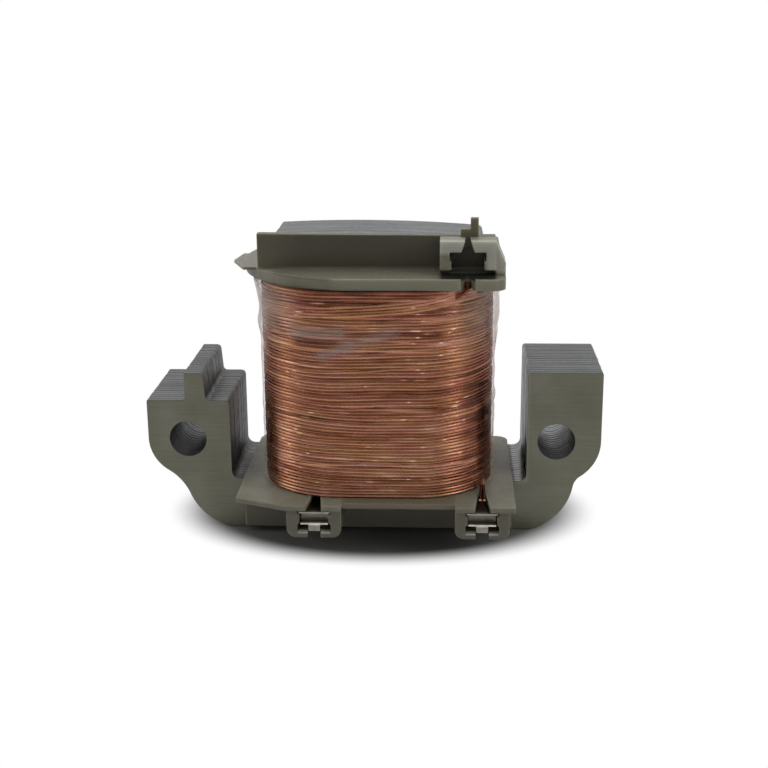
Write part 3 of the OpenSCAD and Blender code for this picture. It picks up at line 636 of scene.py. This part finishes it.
# %% Wires along a path
def swept_wire(path, r, sides=14):
    """Ring of radius r carried along a path: centre + r (cos t * aside + sin t * lifted). The first and last
    rings are drawn again with radius 0, which closes the cut ends."""
    way = np.gradient(path, axis=0)
    way /= np.linalg.norm(way, axis=1, keepdims=True)
    # a fixed slanting direction, which no wire here runs along
    aside = np.cross(way, [0.35, 0.1, 0.93])
    aside /= np.linalg.norm(aside, axis=1, keepdims=True)
    lifted = np.cross(aside, way)
    t = np.linspace(0, 2 * np.pi, sides, endpoint=False)
    ring = np.cos(t)[None, :, None] * aside[:, None] + np.sin(t)[None, :, None] * lifted[:, None]
    centre = np.concatenate([path[:1], path, path[-1:]])
    ring = np.concatenate([ring[:1], ring, ring[-1:]])
    size = np.concatenate([[0], np.full(len(path), r), [0]])
    return centre[:, None] + ring * size[:, None, None]


def smooth_path(knots, count, passes=4):
    """Points spread along the knots by their distance, with corners rounded by a few passes of averaging."""
    knots = np.array(knots, float)
    run = np.concatenate([[0], np.cumsum(np.linalg.norm(np.diff(knots, axis=0), axis=1))])
    s = np.linspace(0, run[-1], count)
    path = np.stack([np.interp(s, run, knots[:, i]) for i in range(3)], -1)
    for _ in range(passes):
        path[1:-1] = (path[:-2] + 2 * path[1:-1] + path[2:]) / 4
    return path


def merged(name, *grids):
    """One mesh from several grids of points, each closed round its columns."""
    whole = bmesh.new()
    for grid in grids:
        piece = grid_mesh(name + "_part", grid)
        whole.from_mesh(piece)
        bpy.data.meshes.remove(piece)
    mesh = bpy.data.meshes.new(name)
    whole.to_mesh(mesh)
    whole.free()
    return mesh


# three of the climbing turns rise into the notch itself
NOTCH_AT = [(12.76, -15.8), (13.22, -15.8), (12.98, -16.2)]
NOTCH_POINTS, NOTCH_SIDES, NOTCH_WIRE_R = 26, 10, WIRE_R * 0.95
flange_z = wind_high[2]
notch_paths = [[
    (9.8, -16.7, flange_z - 0.8 - 0.43 * k), (11.6, -16.3, flange_z - 0.4 - 0.42 * k),
    (x, y - 0.1, flange_z - 0.1), (x, y, flange_z + 0.4), (x + 0.05, y + 0.4, flange_z + 0.8),
] for k, (x, y) in enumerate(NOTCH_AT)]
notch_wires = [
    swept_wire(smooth_path(knots, NOTCH_POINTS), NOTCH_WIRE_R, NOTCH_SIDES) for knots in notch_paths]
wound = merged("copper_turns", body, *notch_wires)
print("winding", len(wound.polygons), "faces, with", len(notch_wires), "wires in the notch")

# %% [markdown]
# ## Tones of the copper
# No two turns look alike: each has its own tone, which wanders along the wire. The tone also carries
# painted light and shade: the crowns are painted lighter than the grooves, the copper is painted darker low
# on both sides, a painted reflection of dark surroundings, and in a ring of painted shade under the upper
# flange, and short painted glints sit on the crowns where a turn presses on the tape. Where the tape bridges
# the wire the copper looks milky. All of this follows the turns, so it is worked out on the same grid and
# kept as two numbers per point, which the material reads: one for the tone, one for the milk.


# %% Tone of each turn
def soft_oval(across, up, wide, tall, size):
    """A soft patch: size times exp of minus half the squared distance, in widths across and heights up."""
    return size * np.exp(-0.5 * ((across / wide) ** 2 + (up / tall) ** 2))


def streak(x, z, x0, z0, x1, z1, wide, size):
    """A soft stroke on the coil's front: size times exp of minus half the squared distance to a line."""
    along = np.clip(((x - x0) * (x1 - x0) + (z - z0) * (z1 - z0)) / ((x1 - x0) ** 2 + (z1 - z0) ** 2), 0, 1)
    far = np.hypot(x - x0 - along * (x1 - x0), z - z0 - along * (z1 - z0))
    return size * np.exp(-0.5 * (far / wide) ** 2)


TONE_LOW, TONE_RANGE, TONE_DRIFT, TONE_MOST = 0.33, 0.34, 0.11, 0.8
CROWN_GAIN, CROWN_FROM = 2.0, -0.04
# painted dark reflection low on both sides: degrees round, height, width in degrees, height of the patch,
# size
PAINTED_DARK_SIDES = [(325, 17, 16, 6, -0.4), (200, 15, 10, 5, -0.35)]
# rings all round: height, height of the ring, size; the dark ring high up is painted shade under the upper
# flange
RINGS = [(12, 5, 0.1), (38, 3, -0.12)]
# painted shade: a dark stroke along a hollow of the turns on the front, from x, z to x, z, width, size
HOLLOW = (-10.8, 31.5, -5.5, 31.3, 0.35, -0.3)
NOT_IN_FRONT = 99

turn_deg = np.degrees(angle)[None, :]
front_x = np.where(front, outline[:, 0], NOT_IN_FRONT)[None, :]
tone = draw.uniform(0, 1, len(strand_z))[winner] * TONE_RANGE + TONE_LOW
tone = tone + np.take_along_axis(drift(draw, len(strand_z), share, 2, 40, TONE_DRIFT), winner, 0)
# painted shade: wires that lie lower are darker, so the crowns are lighter than the grooves
tone = tone + CROWN_GAIN * (highest - CROWN_FROM)
for at_deg, at_z, wide, tall, size in PAINTED_DARK_SIDES:
    tone = tone + soft_oval(turn_deg - at_deg, level_z - at_z, wide, tall, size)
for at_z, tall, size in RINGS:
    tone = tone + soft_oval(0, level_z - at_z, 1, tall, size)
tone = np.clip(tone + streak(front_x, level_z, *HOLLOW), 0, TONE_MOST)
print("tones from", round(float(tone.min()), 2), "to", round(float(tone.max()), 2))

# %% Milky places and glints
# strokes under the tape: from x, z to x, z, width, size
MILKY_STROKES = [
    (-7.4, 29.5, -3.5, 31.0, 0.5, 0.7),
    (-3.5, 31.0, 2.7, 33.0, 0.6, 0.5),
    (-11.3, 32.7, -4.6, 32.9, 0.55, 0.75),
]
MILKY_MOST = 0.8
# the two upper corners, where the film starts to lift: degrees round, height, both widths, size
MILKY_CORNERS = [(205, 36, 18, 3.2, 0.9), (336, 35.5, 18, 3.4, 0.8)]
GLINT_COLUMNS, IN_COLUMN, COLUMN_SPREAD, GLINT_LENGTH = (-10.6, 6.2, 10.8), 24, 1.2, 0.45
SCATTERED, SCATTER_X, SCATTER_DULL, SCATTER_LENGTH = 20, (-9, 4), 0.85, 0.8
GLINT_STRENGTH, PLAIN_TURNS, CROWN_ROWS = (0.9, 1.15), 3, (3, 4, 5)

bloom = np.clip(sum(streak(front_x, level_z, *stroke) for stroke in MILKY_STROKES), 0, MILKY_MOST)
for at_deg, at_z, wide, tall, size in MILKY_CORNERS:
    bloom = bloom + soft_oval(turn_deg - at_deg, level_z - at_z, wide, tall, size)
bloom = np.clip(bloom, 0, 1)

# painted highlights: short glints painted on the crowns, most of them in three columns, and some longer,
# duller ones between
at_x = np.concatenate([draw.normal(x, COLUMN_SPREAD, IN_COLUMN) for x in GLINT_COLUMNS]
                      + [draw.uniform(*SCATTER_X, SCATTERED)])
at_turn = draw.integers(PLAIN_TURNS, TURNS - PLAIN_TURNS, len(at_x))
strong = draw.uniform(*GLINT_STRENGTH, (len(at_x), 1))
strong[-SCATTERED:] *= SCATTER_DULL
length = np.full((len(at_x), 1), GLINT_LENGTH)
length[-SCATTERED:] = SCATTER_LENGTH
glint = strong * np.exp(-0.5 * ((front_x - at_x[:, None]) / length) ** 2)
for row in CROWN_ROWS:
    np.maximum.at(tone, at_turn * TURN_ROWS + row, glint)


def with_ends(values, rest):
    """Values on the grid of turns, repeated at its two ends, with `rest` for the wires in the notch."""
    return np.concatenate([values[:1].ravel(), values.ravel(), values[-1:].ravel(), values[:1].ravel(), rest])


# painted shade: the wires in the notch darken on their way up into it
in_notch = np.tile(np.repeat(np.linspace(0.55, 0.0, NOTCH_POINTS + 2), NOTCH_SIDES), len(NOTCH_AT))
note(wound, "tone", with_ends(tone, in_notch))
note(wound, "bloom", with_ends(bloom, 0 * in_notch))
print(len(at_x), "glints; milk up to", round(float(bloom.max()), 2))

# %% Enamelled copper finish
# what thick and thin varnish do to red, green and blue
MAUVE, OCHRE = (1.02, 0.97, 1.13, 1), (0.98, 1.03, 0.86, 1)


def enamelled_copper():
    """Enamelled copper wire: warm metal under a thin amber varnish, each turn lighter, pinker or browner,
    with the painted shade and painted glints that its tone carries.
    """
    material, tree, shader = blank("enamelled_copper_wire")
    own = add(tree, "Attribute", attribute_name="tone").outputs["Fac"]
    milky = add(tree, "Attribute", attribute_name="bloom").outputs["Fac"]
    spot = add(tree, "TexCoord").outputs["Object"]
    # smudges of varnish, stretched along the wire
    along = add(tree, "Mapping", {"Vector": spot, "Scale": (per(6), per(6), per(0.7))}).outputs[0]
    smudge = add(tree, "TexNoise", {"Vector": along, "Scale": 1.0, "Detail": 3.0}).outputs[0]
    mixed = add(tree, "Math", {0: smudge, 1: 0.7, 2: own}, operation="MULTIPLY_ADD").outputs[0]
    mixed = add(tree, "Math", {0: mixed, 1: 0.35}, operation="SUBTRACT").outputs[0]
    # the palest stop is the colour of the painted glints
    colour = add(tree, "ValToRGB", {0: mixed}, stops=[
        (0, "#3f1d10"), (0.3, "#7a4329"), (0.6, "#9c674b"), (0.82, "#ab7a60"), (1, "#e6bd97")])
    colour = add(tree, "Mix", {0: milky, "A": colour.outputs[0], "B": paint("#a1877c")}, data_type="RGBA")
    # the varnish lies thicker in some places than in others, which turns the copper mauve or ochre
    flow = add(tree, "Mapping", {"Vector": spot, "Scale": (per(8), per(8), per(1.0))}).outputs[0]
    stain = add(tree, "TexNoise", {"Vector": flow, "Scale": 1.0, "Detail": 2.0}).outputs[0]
    stain = add(tree, "MapRange", {"Value": stain, "From Min": 0.38, "From Max": 0.62}).outputs[0]
    tint = add(tree, "Mix", {0: stain, "A": MAUVE, "B": OCHRE}, data_type="RGBA").outputs["Result"]
    tinted = add(tree, "VectorMath", {0: colour.outputs["Result"], 1: tint}, operation="MULTIPLY").outputs[0]
    tree.links.new(tinted, shader.inputs["Base Color"])
    # milk hides the metal's mirror
    metal = add(tree, "MapRange", {"Value": milky, "To Min": 0.85, "To Max": 0.2}).outputs[0]
    tree.links.new(metal, shader.inputs["Metallic"])
    rough = add(tree, "MapRange", {
        "Value": smudge, "From Min": 0.3, "From Max": 0.7, "To Min": 0.2, "To Max": 0.3})
    tree.links.new(rough.outputs[0], shader.inputs["Roughness"])
    # seen along the surface the varnish takes more of the light, so the coil's sides stay dark
    shader.inputs["Specular Tint"].default_value = paint("#8a5a44")
    shader.inputs["Coat Weight"].default_value = 0.4
    shader.inputs["Coat Roughness"].default_value = 0.15
    return material


copper = enamelled_copper()
winding = place(wound, copper, "winding_copper", "winding")
print(winding.name, "in", copper.name)

# %% [markdown]
# ## The clear tape
# One layer of clear tape goes round the turns. Where it sticks it almost vanishes, and where it bridges a
# hollow it turns hazy and catches the light. The film is a grid like the winding's, pushed out where it
# lifts, and a Solidify modifier gives it its thickness. Two large lenses of air lie at the upper corners,
# and small ripples run down the sides. The haze is a second number per point: it follows the lift, and is
# strongest along the lenses' outer edge.

# %% The film's lift
tape_low, tape_high = (np.array(c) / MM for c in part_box("tape_wrap"))
FILM_COLUMNS, FILM_ROWS, FILM_FOOT, FILM_HEAD = 300, 72, 0.15, 0.03
RIPPLE_PASSES, RIPPLE_LEAST, RIPPLE_SIDES = 6, 0.01, 0.08
# bulges: degrees round, height, width in degrees, height of the patch, size
LEFT_LENS, RIGHT_LENS = (205, 38.8, 12, 2.2, 0.66), (334, 34.6, 13, 2.8, 0.66)
# a fold on the left, and two slack places at the back
SLACK_PLACES = [(203, 32.0, 5, 0.9, 0.4), (60, 25, 20, 7, 0.25), (135, 15, 18, 5, 0.25)]
draw = np.random.default_rng(5)
film_line, film_out, film_a = rounded_loop(wind_high[0], wind_high[1], WIND_CORNER, FILM_COLUMNS)
film_share = np.arange(FILM_COLUMNS) / FILM_COLUMNS
film_deg = np.degrees(np.arctan2(film_line[:, 1], film_line[:, 0]))[None, :] % 360
film_z = np.linspace(tape_low[2] + FILM_FOOT, tape_high[2] - FILM_HEAD, FILM_ROWS)[:, None]


def bulge(at_deg, at_z, wide, tall, size):
    """A soft patch on the film, `at_deg` degrees round and `at_z` mm up, counted the shorter way round."""
    return soft_oval((film_deg - at_deg + 180) % 360 - 180, film_z - at_z, wide, tall, size)


ripple = drift(draw, FILM_ROWS, film_share, 3, 24, 1.0)
for _ in range(RIPPLE_PASSES):
    ripple = (np.roll(ripple, 1, 0) + 2 * ripple + np.roll(ripple, -1, 0)) / 4
ripple = ripple / ripple.std()
sides = np.abs(np.cos(film_a))[None, :] ** 4
slack = sum(bulge(*patch) for patch in SLACK_PLACES)
slack = slack + (RIPPLE_LEAST + RIPPLE_SIDES * sides) * np.abs(ripple)
left_lens = bulge(*LEFT_LENS)
lift = slack + left_lens + bulge(*RIGHT_LENS)
print("film lifts up to", round(float(lift.max()), 2), "mm")

# %% The film's haze and mesh
BOW_DEG, BOW_Z, BOW_BEND, BOW_WIDE, BOW_TALL, BOW_SIZE = 329, 34, 0.35, 1.5, 3.2, 0.5
OUTER_EDGES = [(206, 36.5, 9, 4.5, 0.66), (336, 34.5, 8, 3.2, 1.0)]
SLACK_HAZE, LENS_HAZE, RIPPLE_HAZE = 1.5, 0.4, 0.02
FILM_OVER_WIRE = 0.22

# a pale bow where the right lens lets go of the wire, bent like (z - BOW_Z) squared
bow_off = film_deg - BOW_DEG - BOW_BEND * (film_z - BOW_Z) ** 2
bow = BOW_SIZE * np.exp(-0.5 * (bow_off / BOW_WIDE) ** 2 - ((film_z - BOW_Z) / BOW_TALL) ** 4)
haze = SLACK_HAZE * slack + LENS_HAZE * left_lens + bow + RIPPLE_HAZE * ripple
haze = np.clip(haze + sum(bulge(*patch) for patch in OUTER_EDGES), 0, 1)

film_d = FILM_OVER_WIRE - WIRE_INSET + lift
film_xy = film_line[None] + film_out[None] * film_d[..., None]
film_points = np.concatenate([film_xy, np.repeat(film_z[..., None], FILM_COLUMNS, 1)], -1)
film_mesh = grid_mesh("clear_tape", film_points)
note(film_mesh, "haze", haze)
print("film", len(film_mesh.polygons), "faces, haze", round(float(haze.mean()), 3), "on average")

# %% Clear film finish
FILM_T = 0.05


def clear_film():
    """Clear polyester tape: colourless and glossy where it sticks, milky where air lies under it."""
    material, tree, shader = blank("clear_polyester_tape")
    hazy = add(tree, "Attribute", attribute_name="haze").outputs["Fac"]
    spot = add(tree, "TexCoord").outputs["Object"]
    # the haze is cloudy, with patches of about 2 mm
    fleck = add(tree, "TexNoise", {
        "Vector": spot, "Scale": per(2.2), "Detail": 4.0, "Roughness": 0.6}).outputs[0]
    cloud = add(tree, "MapRange", {
        "Value": fleck, "From Min": 0.36, "From Max": 0.64, "To Min": 0.6, "To Max": 1.2}).outputs[0]
    patch = add(tree, "Math", {0: cloud, 1: hazy}, operation="MULTIPLY").outputs[0]
    veil = add(tree, "MapRange", {
        "Value": patch, "From Min": 0.1, "From Max": 1.0, "To Min": 0.0, "To Max": 0.6}).outputs[0]
    # a film seen edge on reflects more, which draws a pale line down both sides of the coil
    edge = add(tree, "LayerWeight", {"Blend": 0.5}).outputs["Facing"]
    edge = add(tree, "Math", {0: edge, 1: 6.0}, operation="POWER").outputs[0]
    shine = add(tree, "Math", {0: edge, 1: 0.4, 2: veil}, operation="MULTIPLY_ADD").outputs[0]
    tree.links.new(shine, shader.inputs["Alpha"])
    # thin haze takes on the copper's warmth from below, thick haze is nearly white
    thick_haze = add(tree, "MapRange", {"Value": hazy, "From Min": 0.35, "From Max": 0.85}).outputs[0]
    colour = add(tree, "Mix", {0: thick_haze, "A": paint("#e2c3b0"), "B": paint("#e9dfd6")}, data_type="RGBA")
    tree.links.new(colour.outputs["Result"], shader.inputs["Base Color"])
    shader.inputs["Roughness"].default_value = 0.28
    shader.inputs["IOR"].default_value = 1.5
    return material


film = place(film_mesh, clear_film(), "tape_film", "tape_wrap")
thick = film.modifiers.new("film thickness", "SOLIDIFY")
thick.thickness, thick.offset = FILM_T * MM, 1
print("tape", FILM_T, "mm thick")

# %% [markdown]
# ## Terminals and leads
# The terminals are folded from thin tin-plated bronze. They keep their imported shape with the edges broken,
# so that the fold and the plate fronts catch the light. The leads are round wire swept along a path: a ring
# of points is carried along the path and closed at both ends, which gives the flat bright faces where the
# wire was cut.

# %% Tin plate and terminals
TERMINAL_EDGE_BREAK = 0.05
# painted light and shade along an axis, from mm to mm and from gain to gain: painted shade inside the
# pocket and on the tab under the plates, full brightness on the front edges, and painted light low down
# that makes the lower plate brighter than the upper
TIN_LIGHT_AND_SHADE = [("Y", -20.5, -19.7, 1.0, 0.42), ("Z", 5.25, 5.35, 0.4, 1.0), ("Z", 5.4, 7.0, 1.5, 0.72)]


def tin_plate():
    """Tin plate on bronze: pale warm metal with soft smears from handling, and painted light and shade by
    place.
    """
    material, tree, shader = blank("tin_plated_bronze")
    spot = add(tree, "TexCoord").outputs["Object"]
    axes = add(tree, "SeparateXYZ", {0: spot})
    smear = add(tree, "TexNoise", {"Vector": spot, "Scale": per(1.2), "Detail": 4.0}).outputs[0]
    colour = add(tree, "ValToRGB", {0: smear}, stops=[(0.3, "#8a857d"), (0.6, "#aca69d"), (0.8, "#c2bbb2")])
    colour = colour.outputs[0]
    for axis, start, end, first, last in TIN_LIGHT_AND_SHADE:
        gain = add(tree, "MapRange", {
            "Value": axes.outputs[axis], "From Min": start * MM, "From Max": end * MM,
            "To Min": first, "To Max": last}).outputs[0]
        colour = add(tree, "VectorMath", {0: colour, 1: gain}, operation="MULTIPLY").outputs[0]
    tree.links.new(colour, shader.inputs["Base Color"])
    rough = add(tree, "MapRange", {
        "Value": smear, "From Min": 0.3, "From Max": 0.7, "To Min": 0.28, "To Max": 0.45})
    tree.links.new(rough.outputs[0], shader.inputs["Roughness"])
    shader.inputs["Metallic"].default_value = 1.0
    return material


tin = tin_plate()
for side in ("left", "right"):
    broken_edges(f"{side}_terminal", f"{side}_wire_terminal", TERMINAL_EDGE_BREAK, tin, "terminal_tin")
print("terminals with", tin.name)

# %% Leads
LEAD_R, CUT_Z, CUT_IN, STRAND_APART = 0.225, 8.4, 0.3, 0.28
START_POINTS, FINISH_POINTS = 12, 40
start_low, start_high = (np.array(c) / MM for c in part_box("start_lead"))
finish_low, finish_high = (np.array(c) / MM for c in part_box("finish_lead"))
lead_y = start_low[1] + LEAD_R
start_x = (start_low[0] + start_high[0]) / 2
finish_x = (finish_low[0] + finish_high[0]) / 2
crest, cut_y = finish_high[2] - LEAD_R, finish_low[1] + CUT_IN

start_path = smooth_path([(start_x, lead_y, start_high[2]), (start_x, lead_y, start_low[2])], START_POINTS)
start_mesh = grid_mesh("start_wire", swept_wire(start_path, LEAD_R))
# the finish lead is doubled: both strands come over the crest and are cut off side by side
strands = [
    [(finish_x, lead_y, finish_low[2]), (finish_x, lead_y, crest), (finish_x - STRAND_APART, cut_y, CUT_Z)],
    [(finish_x + 0.2, lead_y + 0.4, crest + 0.1), (finish_x + 0.24, lead_y - 0.4, crest),
     (finish_x + STRAND_APART, cut_y, CUT_Z)],
]
tubes = [swept_wire(smooth_path(knots, FINISH_POINTS), LEAD_R) for knots in strands]
finish_mesh = merged("finish_wire", *tubes)
print("leads at x =", round(float(start_x), 2), "and", round(float(finish_x), 2), "mm")

# %% The leads' tones
# dark along the finish wire, a painted highlight where it bends outwards, and bright on the cut ends
START_TONE, DARK, BENT, CUT = 0.3, 0.08, 0.95, 1.0
BEND_Z, BEND_HALF = 9.75, 0.2
lead_tone = np.where(np.abs(np.stack(tubes)[..., 2] - BEND_Z) < BEND_HALF, BENT, DARK)
lead_tone[:, -2:] = CUT
note(start_mesh, "tone", np.full(len(start_mesh.vertices), START_TONE))
note(finish_mesh, "tone", lead_tone)
start = place(start_mesh, copper, "winding_copper", "start_lead")
finish = place(finish_mesh, copper, "winding_copper", "finish_lead")
print("leads", start.name, "and", finish.name)

# %% The view transform
bpy.context.scene.view_settings.view_transform = "Standard"
